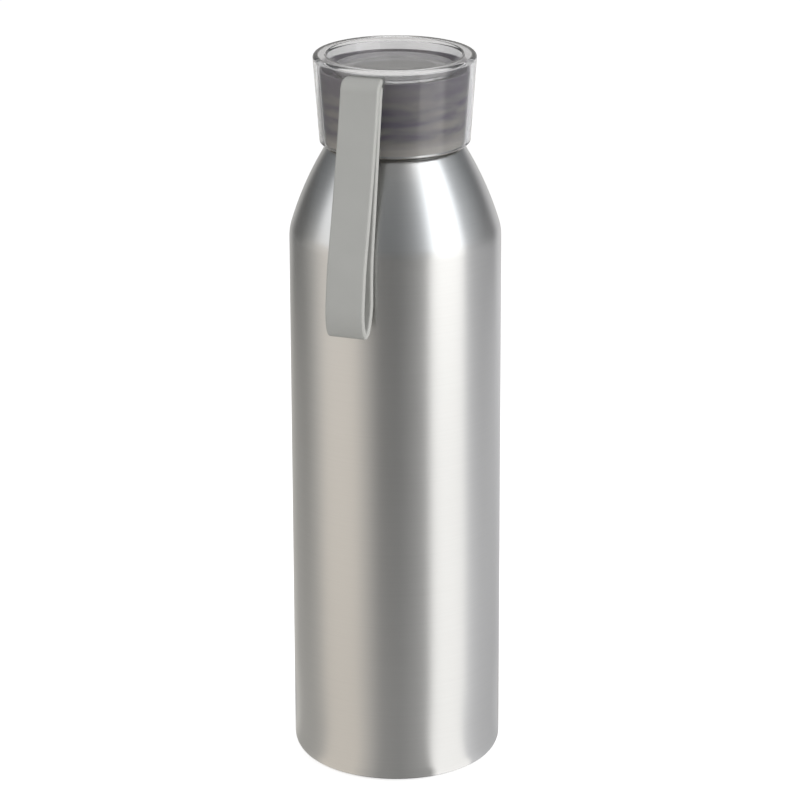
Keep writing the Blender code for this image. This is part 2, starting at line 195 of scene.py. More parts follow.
# Camera
CAMERA_AZIMUTH = math.radians(21.0)
CAMERA_ELEVATION = math.radians(18.6)
CAMERA_DISTANCE = 1.151
CAMERA_AIM_Z = 0.1163
CAMERA_LENS = 165.93
CAMERA_SENSOR = 36.0
CAMERA_ROLL = -0.0031
CAMERA_SIDESTEP = 1.27 * MM

# Studio: a curtain's edges are given as (distance from the bottle's axis, height)
CURTAIN_FOOT = (0.8, 0.002)
CURTAIN_WAIST = (0.8, 0.27)
CURTAIN_HEAD = (0.8, 0.95)
CURTAIN_CROWN = (0.1, 1.25)
CURTAIN_COLUMNS = 12
CURTAIN_ROWS = 9
FLOOR_SIZE = 8.0
FLOOR_LIFT = 0.72
ROOM_LEVEL = 0.36
SOFTBOX_DISTANCE = 0.9
SOFTBOX_AIM_Z = 0.15

# Rings of light just above the floor. The wall reflects the near floor at a smaller azimuth than the
# curtains, so each ring's edges have the curtains' azimuths multiplied by a turn.
GLOW_Z = 0.4 * MM
GLOW_RADII = (0.030, 0.100, 0.200, 0.450, 0.540)
GLOW_TURNS = (0.58, 0.84, 0.915, 0.930, 0.925)

# Sockets of a Mix node for colours, whose names are those of its sockets for numbers too
MIX_A = 6
MIX_B = 7
MIX_RESULT = 2


def flare(z):
    """How far the lid's wall has widened at height z above its lower edge."""
    return COVER_FLARE * (z - LID_Z) / (RIM_Z - LID_Z)


def linear(code):
    """An opaque linear colour from an sRGB hex value such as 'a7a7a3'."""
    parts = [int(code[i:i + 2], 16) / 255 for i in (0, 2, 4)]
    return (*[c / 12.92 if c <= 0.04045 else ((c + 0.055) / 1.055) ** 2.4 for c in parts], 1.0)


def run(start, end, spacing):
    """Points from start up to but not including end, crowded towards both ends by a cosine."""
    start, end = np.array(start), np.array(end)
    count = max(1, math.ceil(np.linalg.norm(end - start) / spacing))
    share = (1 - np.cos(np.pi * np.arange(count) / count)) / 2
    return start + share[:, None] * (end - start)


def rounded(corners):
    """An outline through corners (radius, height, rounding, optional spacing of the run that follows).

    Each rounded corner is an arc tangent to its two sides, and straight runs are filled with points.
    """
    arcs = []
    for i, (x, z, rounding, *_) in enumerate(corners):
        here = np.array((x, z))
        if not rounding:
            arcs.append(here[None])
            continue
        before = np.array(corners[i - 1][:2]) - here
        after = np.array(corners[i + 1][:2]) - here
        before, after = before / np.linalg.norm(before), after / np.linalg.norm(after)
        half = math.acos(np.clip(before @ after, -1, 1)) / 2
        bisector = (before + after) / np.linalg.norm(before + after)
        centre = here + bisector * rounding / math.sin(half)
        first = here + before * rounding / math.tan(half) - centre
        last = here + after * rounding / math.tan(half) - centre
        sweep = math.pi - 2 * half
        share = np.linspace(0, 1, ARC_POINTS + 1)[:, None]
        turned = np.sin((1 - share) * sweep) * first + np.sin(share * sweep) * last
        arcs.append(centre + turned / math.sin(sweep))
    pieces = []
    for i, arc in enumerate(arcs):
        pieces.append(arc)
        if i + 1 < len(arcs):
            spacing = corners[i][3] if len(corners[i]) > 3 else OUTLINE_SPACING
            pieces.append(run(arc[-1], arcs[i + 1][0], spacing)[1:])
    return np.concatenate(pieces)


def bowed(start, end, bulge, count):
    """Corners between start and end on a shallow parabola that stands out by bulge at its middle."""
    start, end = np.array(start), np.array(end)
    along = end - start
    across = np.array((along[1], -along[0])) / np.linalg.norm(along)
    share = np.arange(1, count + 1)[:, None] / (count + 1)
    return [(x, z, 0.0) for x, z in start + share * along + across * bulge * 4 * share * (1 - share)]


def mesh_object(name, points, faces):
    """A smooth mesh object from points and from arrays of faces, each array with one number of corners.

    The faces of a closed surface are turned to face outwards, where its enclosed volume is positive.
    """
    points = np.asarray(points, float).reshape(-1, 3)
    volume = 0.0
    for group in faces:
        for k in range(1, group.shape[1] - 1):
            a, b, c = points[group[:, 0]], points[group[:, k]], points[group[:, k + 1]]
            volume += np.einsum("ij,ij->", a, np.cross(b, c))
    if volume < 0:
        faces = [group[:, ::-1] for group in faces]
    used, flat = np.unique(np.concatenate([group.ravel() for group in faces]), return_inverse=True)
    sizes = np.concatenate([np.full(len(group), group.shape[1]) for group in faces])
    mesh = bpy.data.meshes.new(name)
    mesh.vertices.add(len(used))
    mesh.vertices.foreach_set("co", points[used].astype(np.float32).ravel())
    mesh.loops.add(len(flat))
    mesh.loops.foreach_set("vertex_index", flat.astype(np.int32))
    mesh.polygons.add(len(sizes))
    mesh.polygons.foreach_set("loop_start", (np.cumsum(sizes) - sizes).astype(np.int32))
    mesh.update(calc_edges=True)
    mesh.shade_smooth()
    mesh.set_sharp_from_angle(angle=SHARP_ANGLE)
    thing = bpy.data.objects.new(name, mesh)
    bpy.context.scene.collection.objects.link(thing)
    return thing


def quads(index, wrap_rows=False, wrap_columns=False):
    """The four-sided faces between neighbouring rows and columns of a grid of vertex numbers."""
    if wrap_rows:
        index = np.concatenate([index, index[:1]])
    if wrap_columns:
        index = np.concatenate([index, index[:, :1]], axis=1)
    return np.stack([index[:-1, :-1], index[1:, :-1], index[1:, 1:], index[:-1, 1:]], axis=-1)


def window_band(index, keep, outer, inner):
    """Opens a window of SLOT_COLUMNS columns through two walls and joins its two edges by a band."""
    # Both loops run round the window's four sides in the same order, so that they can be joined
    loops = []
    for first, last in (outer, inner):
        keep[min(first, last):max(first, last), :SLOT_COLUMNS] = False
        step = 1 if last > first else -1
        down = np.arange(first, last + step, step)
        across = np.arange(SLOT_COLUMNS + 1)
        loops.append(np.concatenate([
            index[down[0], across[:-1]], index[down[:-1], across[-1]],
            index[down[-1], across[:0:-1]], index[down[:0:-1], across[0]]]))
    return [quads(np.stack(loops), wrap_columns=True).reshape(-1, 4)]


def notch_faces(index, keep, first, last):
    """Opens a notch of SLOT_COLUMNS columns over a wall's edge: two flat cheeks and a sill."""
    keep[first:last, :SLOT_COLUMNS] = False
    cheeks = index[first:last + 1, 0], index[last:first - 1:-1, SLOT_COLUMNS]
    sill = np.stack([index[first, :SLOT_COLUMNS + 1], index[last, :SLOT_COLUMNS + 1]])
    return [cheeks[0][None], cheeks[1][None], quads(sill).reshape(-1, 4)]


def revolve(name, outline, angles, rise=0.0, opening=None):
    """A turned solid: point (i, j) is outline point i at angle j, pushed out by rise.

    An outline that starts and ends on the axis is closed by one vertex at each pole, and any other
    outline is a ring. opening is window_band or notch_faces with its rows.
    """
    radius = outline[:, :1] + rise
    points = np.stack([
        radius * np.cos(angles), radius * np.sin(angles),
        np.broadcast_to(outline[:, 1:], np.broadcast_shapes(radius.shape, angles.shape))], axis=-1)
    rows, columns = points.shape[:2]
    index = np.arange(rows * columns).reshape(rows, columns)
    on_axis = outline[0, 0] == 0
    if on_axis:
        index[0], index[-1] = index[0, 0], index[-1, 0]
    faces = quads(index, wrap_rows=not on_axis, wrap_columns=True)
    groups = []
    keep = np.ones(faces.shape[:2], bool)
    if on_axis:
        groups += [faces[0][:, 1:], faces[-1][:, [0, 1, 3]]]
        keep[[0, -1]] = False
    if opening:
        make, *rows = opening
        groups += make(index, keep, *rows)
    groups.insert(0, faces[keep])
    return mesh_object(name, points, groups)


def even_angles(columns):
    """Equal angles round the axis, starting opposite the carrying loop."""
    return (math.pi / 2 + TURN * np.arange(columns) / columns)[None]


def slot_angles(outline, columns):
    """Angles for each outline point, with SLOT_COLUMNS of them spread evenly over the slot's width.

    Within the slot the columns keep their distance from the loop's middle plane at every radius, so
    the slot's sides are parallel, and the columns outside it share the rest of the circle.
    """
    radius = np.maximum(outline[:, :1], SLOT_RADIUS_LEAST)
    edge = np.arcsin(SLOT_HALF / radius)
    inside = np.linspace(-1, 1, SLOT_COLUMNS + 1)[None]
    outside = np.linspace(0, 1, columns - SLOT_COLUMNS + 1)[None, 1:-1]
    within = np.arcsin(inside * SLOT_HALF / radius)
    around = edge + outside * (TURN - 2 * edge)
    return -math.pi / 2 + np.concatenate([within, around], axis=1)


def wall_rows(outline, foot_radius, *heights):
    """The rows of an outline's points at some heights on the flared wall that starts at foot_radius."""
    off = [np.hypot(outline[:, 0] - foot_radius - flare(z), outline[:, 1] - z) for z in heights]
    return [int(np.argmin(distance)) for distance in off]


def thread_rise(height, angle, start, side):
    """How far a screw thread stands out of a cylinder at each height and angle.

    The ridge is a squared cosine across, its middle climbs one pitch a turn from start, and it fades
    in and out over THREAD_RUN_OUT turns. side is 1 for a thread on the outside and -1 on the inside.
    """
    share = (angle % TURN) / TURN
    rise = np.zeros(np.broadcast_shapes(height.shape, angle.shape))
    for lap in range(math.ceil(THREAD_TURNS)):
        turns = share + lap
        fade = np.clip(np.minimum(turns, THREAD_TURNS - turns) / THREAD_RUN_OUT, 0, 1)
        fade = fade * fade * (3 - 2 * fade)
        off = np.abs(height - start - THREAD_PITCH * turns) / THREAD_HALF_WIDTH
        ridge = np.cos(np.clip(off, 0, 1) * math.pi / 2) ** 2
        rise = np.maximum(rise, fade * ridge)
    return side * THREAD_RISE * rise


def bottle_shell():
    """The shell as one turned surface: outside, rolled thread, open lip and inside."""
    # The inside's corners lie a wall's thickness in from the outside's
    slant = math.atan2(BODY_RADIUS - SHOULDER_RADIUS, LEDGE_Z - KNEE_Z)
    wall_out = BODY_RADIUS - BODY_WALL
    knee_in = (wall_out, KNEE_Z - BODY_WALL * math.tan(slant / 2))
    ledge_under = LEDGE_Z - NECK_WALL
    top_in = (SHOULDER_RADIUS - BODY_WALL / math.cos(slant) + NECK_WALL * math.tan(slant), ledge_under)
    knee = (BODY_RADIUS, KNEE_Z)
    top = (SHOULDER_RADIUS, LEDGE_Z)
    bore = NECK_RADIUS - NECK_WALL
    outline = rounded([
        (0.0, BASE_THICKNESS, 0.0),
        (wall_out, BASE_THICKNESS, BASE_ROUNDING - BODY_WALL),
        (*knee_in, KNEE_ROUNDING - BODY_WALL),
        *bowed(knee_in, top_in, SHOULDER_BULGE, SHOULDER_POINTS),
        (*top_in, SOFT_EDGE),
        (bore, ledge_under, SOFT_EDGE),
        (bore, LIP_Z, NECK_FILLET),
        (NECK_RADIUS, LIP_Z, NECK_FILLET, THREAD_SPACING),
        (NECK_RADIUS, LEDGE_Z, NECK_FILLET),
        (*top, SHOULDER_ROUNDING),
        *reversed(bowed(knee, top, SHOULDER_BULGE, SHOULDER_POINTS)),
        (*knee, KNEE_ROUNDING),
        (BODY_RADIUS, 0.0, BASE_ROUNDING),
        (0.0, 0.0, 0.0),
    ])
    angles = even_angles(SHELL_COLUMNS)
    on_neck = np.isclose(outline[:, :1], NECK_RADIUS) & (outline[:, 1:] > LEDGE_Z)
    rise = thread_rise(outline[:, 1:], angles, NECK_THREAD_Z, 1) * on_neck
    return revolve("bottle_shell", outline, angles, rise)


def cover():
    """The clear cover: flared wall, solid rim, recessed top and the window for the loop."""
    slope = math.atan2(RECESS_SLOPE, RIM_Z - RECESS_Z)
    top_radius = COVER_RADIUS + COVER_FLARE
    rim_inner = top_radius - RIM_WIDTH
    recess = rim_inner - RECESS_SLOPE
    back_foot = recess + RECESS_THICKNESS * math.tan(math.pi / 4 - slope / 2)
    back_head = recess + RECESS_THICKNESS / math.cos(slope) + math.tan(slope) * (CEILING_Z - RECESS_Z)
    outline = rounded([
        (0.0, RECESS_Z, 0.0),
        (recess, RECESS_Z, 2 * SOFT_EDGE),
        (rim_inner, RIM_Z, RIM_ROUNDING),
        (top_radius, RIM_Z, RIM_OUTER_ROUNDING),
        (COVER_RADIUS + flare(SLOT_HIGH_Z), SLOT_HIGH_Z, 0.0, SLOT_SPACING),
        (COVER_RADIUS + flare(SLOT_LOW_Z), SLOT_LOW_Z, 0.0),
        (COVER_RADIUS + flare(LID_Z + COVER_CHAMFER), LID_Z + COVER_CHAMFER, 2 * SOFT_EDGE),
        (COVER_RADIUS - COVER_CHAMFER, LID_Z, SOFT_EDGE),
        (COVER_BORE, LID_Z, 0.0),
        (COVER_BORE + flare(SLOT_LOW_Z), SLOT_LOW_Z, 0.0, SLOT_SPACING),
        (COVER_BORE + flare(SLOT_HIGH_Z), SLOT_HIGH_Z, 0.0),
        (COVER_BORE + flare(CEILING_Z), CEILING_Z, SOFT_EDGE),
        (back_head, CEILING_Z, SOFT_EDGE),
        (back_foot, RECESS_UNDER_Z, SOFT_EDGE),
        (0.0, RECESS_UNDER_Z, 0.0),
    ])
    outer = wall_rows(outline, COVER_RADIUS, SLOT_LOW_Z, SLOT_HIGH_Z)
    inner = wall_rows(outline, COVER_BORE, SLOT_LOW_Z, SLOT_HIGH_Z)
    angles = slot_angles(outline, LID_COLUMNS)
    return revolve("lid_cover_clear", outline, angles, opening=(window_band, outer, inner))


def insert():
    """The smoky screw cap: threaded skirt, disc, plug, boss and an outer skirt with the loop's notch."""
    skirt_bore = INSERT_RADIUS - SKIRT_WALL
    outline = rounded([
        (0.0, DISC_TOP_Z, 0.0),
        (BOSS_RADIUS - BOSS_WALL, DISC_TOP_Z, SOFT_EDGE),
        (BOSS_RADIUS - BOSS_WALL, BOSS_TOP_Z, SOFT_EDGE),
        (BOSS_RADIUS, BOSS_TOP_Z, SOFT_EDGE),
        (BOSS_RADIUS, DISC_TOP_Z, SOFT_EDGE),
        (skirt_bore + flare(DISC_TOP_Z), DISC_TOP_Z, SOFT_EDGE),
        (skirt_bore + flare(SLOT_LOW_Z), SLOT_LOW_Z, 0.0),
        (skirt_bore + flare(INSERT_TOP_Z), INSERT_TOP_Z, SOFT_EDGE),
        (INSERT_RADIUS + flare(INSERT_TOP_Z), INSERT_TOP_Z, SOFT_EDGE),
        (INSERT_RADIUS + flare(SLOT_LOW_Z), SLOT_LOW_Z, 0.0),
        (INSERT_RADIUS + flare(INSERT_FOOT_Z), INSERT_FOOT_Z, SOFT_EDGE),
        (INSERT_BORE, INSERT_FOOT_Z, SOFT_EDGE, THREAD_SPACING),
        (INSERT_BORE, DISC_Z, SOFT_EDGE),
        (PLUG_RADIUS, DISC_Z, SOFT_EDGE),
        (PLUG_RADIUS, PLUG_FOOT_Z, NECK_FILLET),
        (PLUG_RADIUS - PLUG_WALL, PLUG_FOOT_Z, NECK_FILLET),
        (PLUG_RADIUS - PLUG_WALL, DISC_Z, SOFT_EDGE),
        (0.0, DISC_Z, 0.0),
    ])
    angles = slot_angles(outline, LID_COLUMNS)
    in_bore = np.isclose(outline[:, :1], INSERT_BORE)
    rise = thread_rise(outline[:, 1:], angles, LID_THREAD_Z, -1) * in_bore
    rows = wall_rows(outline, skirt_bore, SLOT_LOW_Z) + wall_rows(outline, INSERT_RADIUS, SLOT_LOW_Z)
    return revolve("lid_insert_smoky", outline, angles, rise, opening=(notch_faces, *rows))


def seal():
    """The flat silicone ring between the neck's lip and the insert.

    Its outline comes back to where it starts, and that point is left out once.
    """
    middle_z = (SEAL_Z + SEAL_TOP_Z) / 2
    outline = rounded([
        (SEAL_OUTER, middle_z, 0.0),
        (SEAL_OUTER, SEAL_Z, SOFT_EDGE),
        (SEAL_INNER, SEAL_Z, SOFT_EDGE),
        (SEAL_INNER, SEAL_TOP_Z, SOFT_EDGE),
        (SEAL_OUTER, SEAL_TOP_Z, SOFT_EDGE),
        (SEAL_OUTER, middle_z, 0.0),
    ])
    return revolve("seal_ring_soft", outline[:-1], even_angles(SEAL_COLUMNS))


def strap_line():
    """The band's middle line as (distance from the axis, height) from one end in the slot to the other.

    It runs out of the slot, bends down, hangs as the front strand, rounds the tip and comes back up
    as the back strand. The back strand is straight above the knee and its lean dies away below it.
    The front strand moves away from it by a share of the drop raised to STRAP_OPENING, and the tip
    is half an ellipse, leaning outwards.
    """
    offset = (STRAP_THICKNESS + STRAP_PINCH) / 2
    knee_out = BODY_RADIUS + STRAP_REST_GAP + STRAP_THICKNESS / 2
    back_top = HINGE_OUT - offset
    low_z = HINGE_Z - STRAP_DROP
    lean = (knee_out - back_top) / (HINGE_Z - KNEE_Z)

    def back(z):
        below = knee_out + lean * STRAP_SETTLE * (1 - np.exp(np.minimum(z - KNEE_Z, 0) / STRAP_SETTLE))
        return np.where(z > KNEE_Z, back_top + lean * (HINGE_Z - z), below)

    def front(z):
        share = (HINGE_Z - z) / STRAP_DROP
        return back(z) + 2 * offset + (STRAP_SPREAD - 2 * offset) * share ** STRAP_OPENING

    def bend(centre_out, centre_z, radius, count):
        turn = np.linspace(math.pi / 2, 0, count)
        return np.stack([centre_out + radius * np.cos(turn), centre_z + radius * np.sin(turn)], axis=1)

    front_centre = HINGE_Z + offset - FRONT_BEND
    back_centre = HINGE_Z - offset - BACK_BEND
    front_bend = bend(
        float(front(front_centre)) - FRONT_BEND, front_centre, FRONT_BEND, FRONT_BEND_POINTS)
    back_bend = bend(
        float(back(back_centre)) - BACK_BEND, back_centre, BACK_BEND, BACK_BEND_POINTS)
    front_z = np.linspace(front_centre, low_z, STRAND_POINTS)[1:]
    back_z = np.linspace(back_centre, low_z, STRAND_POINTS)[1:]
    turn = np.linspace(0, math.pi, TIP_POINTS)[1:-1]
    middle = float(back(low_z) + front(low_z)) / 2
    tip = np.stack([
        middle + STRAP_SPREAD / 2 * np.cos(turn) + STRAP_TIP_SKEW * np.sin(turn),
        low_z - STRAP_TIP * np.sin(turn)], axis=1)
    start = run((TONGUE_ROOT, HINGE_Z + offset), front_bend[0], TONGUE_SPACING)
    end = run((BEAD_INNER, HINGE_Z - offset), back_bend[0], TONGUE_SPACING)
    return np.concatenate([
        start, front_bend, np.stack([front(front_z), front_z], axis=1), tip,
        np.stack([back(back_z), back_z], axis=1)[::-1], back_bend[::-1], end[::-1]])


def strap():
    """The silicone loop: a rounded-rectangle section carried along the band's line.

    The section is STRAP_THICKNESS thick. Its half width is a smooth step from the hanging band to
    the narrower tongue in the slot, and on the lower end again to the bead behind the lid's wall.
    Inside the lid the section follows the wall's curve.
    """
    line = strap_line()
    along = np.gradient(line, axis=0)
    along /= np.linalg.norm(along, axis=1)[:, None]
    normal = np.stack([-along[:, 1], along[:, 0]], axis=1)
    out, z = line.T

    # Half width: the tongue in the slot, the band outside it, and the bead at the lower end
    mouth = COVER_RADIUS + flare(HINGE_Z)
    near_slot = z > MOUTH_LOW_Z
    open_share = np.clip((out - mouth + MOUTH_INSET) / TONGUE_BLEND, 0, 1)
    open_share = np.where(near_slot, np.sqrt(1 - (1 - open_share) ** 2), 1.0)
    half = TONGUE_HALF + (STRAP_HALF - TONGUE_HALF) * open_share
    bead = np.clip((BEAD_OUTER - out) / BEAD_BLEND, 0, 1) * near_slot * (z < HINGE_Z)
    half = half + (BEAD_HALF - TONGUE_HALF) * bead * bead * (3 - 2 * bead)

    # Section: two rounded corners at each side, with flat faces under and over
    quarter = np.linspace(0, math.pi / 2, EDGE_POINTS)
    flat = (1 - np.cos(np.linspace(0, math.pi, FACE_POINTS))) / 2
    flat = flat[None, 1:-1, None]
    corner_x = np.concatenate([np.sin(quarter), np.sin(quarter[::-1])])
    side = np.concatenate([np.ones(EDGE_POINTS), -np.ones(EDGE_POINTS)])
    rise_z = np.concatenate([np.cos(quarter), -np.cos(quarter[::-1])])
    thick = side * (STRAP_THICKNESS / 2 - STRAP_EDGE) + STRAP_EDGE * rise_z
    wide = half[:, None] - STRAP_EDGE + STRAP_EDGE * corner_x[None]
    right = np.stack([wide, np.broadcast_to(thick, wide.shape)], axis=-1)
    left = right[:, ::-1] * (-1, 1)
    under = right[:, -1:] + flat * (left[:, :1] - right[:, -1:])
    over = left[:, -1:] + flat * (right[:, :1] - left[:, -1:])
    section = np.concatenate([right, under, left, over], axis=1)

    # The section is set square to the line, and follows the wall's curve inside the lid
    across, up = section[..., 0], section[..., 1]
    radial = out[:, None] + normal[:, :1] * up
    height = z[:, None] + normal[:, 1:] * up
    curve = np.clip((mouth + TONGUE_BLEND - out) / TONGUE_BLEND, 0, 1) * near_slot
    sagitta = radial - np.sqrt(np.maximum(radial ** 2 - across ** 2, 0))
    radial = radial - sagitta * curve[:, None]
    points = np.stack([across, -radial, height], axis=-1)
    rows, columns = points.shape[:2]
    index = np.arange(rows * columns).reshape(rows, columns)
    caps = [index[:1], index[-1:, ::-1]]
    body = quads(index, wrap_columns=True).reshape(-1, 4)
    return mesh_object("carrying_loop", points, [body, *caps])


def node(tree, kind, inputs=None, **settings):
    """Adds a node, sets its properties, and fills or links its input sockets."""
    made = tree.nodes.new(kind)
    for name, value in settings.items():
        setattr(made, name, value)
    for name, value in (inputs or {}).items():
        if isinstance(value, bpy.types.NodeSocket):
            tree.links.new(value, made.inputs[name])
        else:
            made.inputs[name].default_value = value
    return made


def new_material(name):
    """A material with an empty node tree, and the tree."""
    material = bpy.data.materials.new(name)
    material.use_nodes = True
    material.node_tree.nodes.clear()
    return material, material.node_tree


def brushed_aluminium():
    """Bare aluminium, brushed round the bottle: satin, with fine lines that draw highlights upwards.

    Real brushing is about 0.05 mm wide. It is drawn 0.3 mm wide here, so that it shows at all.
    """
    material, tree = new_material("brushed_aluminium")
    place = node(tree, "ShaderNodeTexCoord").outputs["Object"]
    stretched = node(tree, "ShaderNodeMapping", {"Vector": place, "Scale": (0.02, 0.02, 1.0)})
    lines = node(tree, "ShaderNodeTexNoise", {
        "Vector": stretched.outputs["Vector"],
        "Scale": 1 / (0.6 * MM), "Detail": 3.0, "Roughness": 0.6})
    clouds = node(tree, "ShaderNodeTexNoise", {"Vector": place, "Scale": 1 / (25 * MM), "Detail": 2.0})
    tint = node(tree, "ShaderNodeMix", {
        "Factor": lines.outputs["Fac"],
        MIX_A: linear("d9d9d8"), MIX_B: linear("dfdfde")}, data_type="RGBA")
    rough = node(tree, "ShaderNodeMapRange", {
        "Value": lines.outputs["Fac"], "From Min": 0.3, "From Max": 0.7,
        "To Min": 0.283, "To Max": 0.299})
    soft = node(tree, "ShaderNodeMapRange", {
        "Value": clouds.outputs["Fac"], "From Min": 0.3, "From Max": 0.7,
        "To Min": -0.01, "To Max": 0.01})
    mixed = node(tree, "ShaderNodeMath", {
        0: rough.outputs["Result"], 1: soft.outputs["Result"]}, operation="ADD")
    relief = node(tree, "ShaderNodeBump", {
        "Height": lines.outputs["Fac"], "Strength": 0.012, "Distance": 0.02 * MM})
    tangent = node(tree, "ShaderNodeTangent", direction_type="RADIAL", axis="Z")
    shader = node(tree, "ShaderNodeBsdfPrincipled", {
        "Base Color": tint.outputs[MIX_RESULT], "Metallic": 1.0, "Roughness": mixed.outputs["Value"],
        "Anisotropic": 0.35, "Anisotropic Rotation": 0.25,
        "Tangent": tangent.outputs["Tangent"], "Normal": relief.outputs["Normal"]})
    node(tree, "ShaderNodeOutputMaterial", {"Surface": shader.outputs["BSDF"]})
    return material


def clear_plastic():
    """Clear moulded copolyester, polished: sharp reflections over a faint waviness from the mould,
    and a trace of haze.
    """
    material, tree = new_material("clear_moulded_copolyester")
    place = node(tree, "ShaderNodeTexCoord").outputs["Object"]
    waves = node(tree, "ShaderNodeTexNoise", {"Vector": place, "Scale": 1 / (9 * MM), "Detail": 1.0})
    relief = node(tree, "ShaderNodeBump", {
        "Height": waves.outputs["Fac"], "Strength": 0.15, "Distance": 0.1 * MM})
    shader = node(tree, "ShaderNodeBsdfPrincipled", {
        "Base Color": linear("f4f4f5"), "Roughness": 0.03, "IOR": 1.4,
        "Transmission Weight": 0.95, "Normal": relief.outputs["Normal"]})
    node(tree, "ShaderNodeOutputMaterial", {"Surface": shader.outputs["BSDF"]})
    return material


def smoky_plastic():
    """Smoky tinted polypropylene, moulded: hazy, with swirls drawn out round the lid as it flowed into
    the mould. It is darker along the thread, at its disc and just round it, where it is thicker. Its
    foot is painted paler, a painted glow that stands in for the shoulder's light shining up through
    the thin wall there.
    """
    material, tree = new_material("smoky_polypropylene")
    place = node(tree, "ShaderNodeTexCoord").outputs["Object"]
    split = node(tree, "ShaderNodeSeparateXYZ", {"Vector": place})
    angle = node(tree, "ShaderNodeMath", {
        0: split.outputs["Y"], 1: split.outputs["X"]}, operation="ARCTAN2")
    climb = node(tree, "ShaderNodeMath", {
        0: split.outputs["Z"], 1: TURN / THREAD_PITCH}, operation="MULTIPLY")
    phase = node(tree, "ShaderNodeMath", {
        0: climb.outputs["Value"], 1: angle.outputs["Value"]}, operation="SUBTRACT")
    ridge = node(tree, "ShaderNodeMath", {0: phase.outputs["Value"]}, operation="SINE")
    drawn = node(tree, "ShaderNodeMapping", {
        "Vector": place, "Rotation": (0.1, 0.1, 0.0), "Scale": (0.25, 0.25, 1.0)})
    flow = node(tree, "ShaderNodeTexNoise", {
        "Vector": drawn.outputs["Vector"],
        "Scale": 1 / (3.5 * MM), "Detail": 2.0, "Distortion": 0.4})
    swirl = node(tree, "ShaderNodeMapRange", {
        "Value": flow.outputs["Fac"], "From Min": 0.35, "From Max": 0.65,
        "To Min": 0.1, "To Max": 0.9})
    shade = node(tree, "ShaderNodeMath", {
        0: ridge.outputs["Value"], 1: 0.2, 2: swirl.outputs["Result"]}, operation="MULTIPLY_ADD")
    tint = node(tree, "ShaderNodeMix", {
        "Factor": shade.outputs["Value"],
        MIX_A: linear("7a6e8a"), MIX_B: linear("cbc3bb")}, data_type="RGBA")
    # Painted light: towards its foot the colour is mixed to pale beige, standing in for the shoulder's
    # glow shining up through the thin foot
    foot = node(tree, "ShaderNodeMapRange", {
        "Value": split.outputs["Z"], "From Min": FOOT_GLOW_FULL_Z, "From Max": FOOT_GLOW_END_Z,
        "To Min": 1.0, "To Max": 0.0})
    lower = node(tree, "ShaderNodeMix", {
        "Factor": foot.outputs["Result"],
        MIX_A: tint.outputs[MIX_RESULT], MIX_B: linear("f2ece2")}, data_type="RGBA")
    crown = node(tree, "ShaderNodeMapRange", {
        "Value": split.outputs["Z"], "From Min": CROWN_START_Z, "From Max": DISC_TOP_Z,
        "To Min": 0.0, "To Max": 0.65})
    wall = node(tree, "ShaderNodeMix", {
        "Factor": crown.outputs["Result"],
        MIX_A: lower.outputs[MIX_RESULT], MIX_B: linear("978c9b")}, data_type="RGBA")
    flat = node(tree, "ShaderNodeVectorMath", {0: place, 1: (1.0, 1.0, 0.0)}, operation="MULTIPLY")
    radius = node(tree, "ShaderNodeVectorMath", {0: flat.outputs["Vector"]}, operation="LENGTH")
    inside = node(tree, "ShaderNodeMapRange", {
        "Value": radius.outputs["Value"], "From Min": NECK_RADIUS, "From Max": INSERT_BORE,
        "To Min": 1.0, "To Max": 0.0})
    whole = node(tree, "ShaderNodeMix", {
        "Factor": inside.outputs["Result"],
        MIX_A: wall.outputs[MIX_RESULT], MIX_B: linear("65615a")}, data_type="RGBA")
    shader = node(tree, "ShaderNodeBsdfPrincipled", {
        "Base Color": whole.outputs[MIX_RESULT], "Roughness": 0.3, "IOR": 1.49,
        "Transmission Weight": 0.35, "Specular IOR Level": 0.2})
    node(tree, "ShaderNodeOutputMaterial", {"Surface": shader.outputs["BSDF"]})
    return material


def silicone(name, low, high, roughness):
    """Matt moulded silicone: even colour, a soft sheen and a very fine satin grain."""
    material, tree = new_material(name)
    place = node(tree, "ShaderNodeTexCoord").outputs["Object"]
    clouds = node(tree, "ShaderNodeTexNoise", {"Vector": place, "Scale": 1 / (12 * MM), "Detail": 3.0})
    grain = node(tree, "ShaderNodeTexNoise", {"Vector": place, "Scale": 1 / (0.35 * MM), "Detail": 2.0})
    tint = node(tree, "ShaderNodeMix", {
        "Factor": clouds.outputs["Fac"],
        MIX_A: linear(low), MIX_B: linear(high)}, data_type="RGBA")
    relief = node(tree, "ShaderNodeBump", {
        "Height": grain.outputs["Fac"], "Strength": 0.25, "Distance": 0.02 * MM})
    shader = node(tree, "ShaderNodeBsdfPrincipled", {
        "Base Color": tint.outputs[MIX_RESULT], "Roughness": roughness, "IOR": 1.41,
        "Normal": relief.outputs["Normal"]})
    node(tree, "ShaderNodeOutputMaterial", {"Surface": shader.outputs["BSDF"]})
    return material


def dress(piece, material):
    """Gives a piece its material."""
    piece.data.materials.append(material)
    return piece


